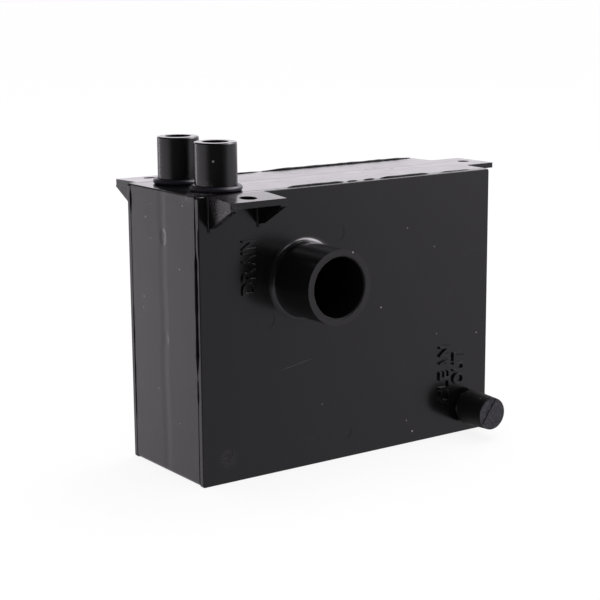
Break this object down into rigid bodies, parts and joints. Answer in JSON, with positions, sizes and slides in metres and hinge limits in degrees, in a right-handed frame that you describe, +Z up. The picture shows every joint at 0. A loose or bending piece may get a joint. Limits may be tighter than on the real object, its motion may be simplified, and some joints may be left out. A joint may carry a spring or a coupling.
{
  "type": "condensate trap",
  "caption": "Flat box-shaped condensate trap with two ringed inlet tubes on top, a drain stub and a capped clean-out in front, and drilled screw ears.",
  "frame": {"origin": "centre of the case's flat bottom face", "axes": "+X along the case towards the end ear, +Y from the drain face to the plain back, +Z up through the inlet tubes"},
  "size_m": [0.1448, 0.085, 0.1189],
  "materials": {
    "moulding": "glossy moulded black",
    "seal_rubber": "smooth black rubber",
    "cap_rubber": "satin black rubber"
  },
  "bodies": {
    "trap": {"trap_body": "moulding", "front_panel": "moulding", "back_panel": "moulding", "inlet_seal_front": "seal_rubber", "inlet_seal_back": "seal_rubber"},
    "cap": {"cleanout_cap": "cap_rubber"}
  },
  "joints": [
    {"name": "cap_pull", "type": "slide", "parent": "trap", "child": "cap", "axis": [0, -1, 0], "range_m": [0, 0.02]}
  ]
}
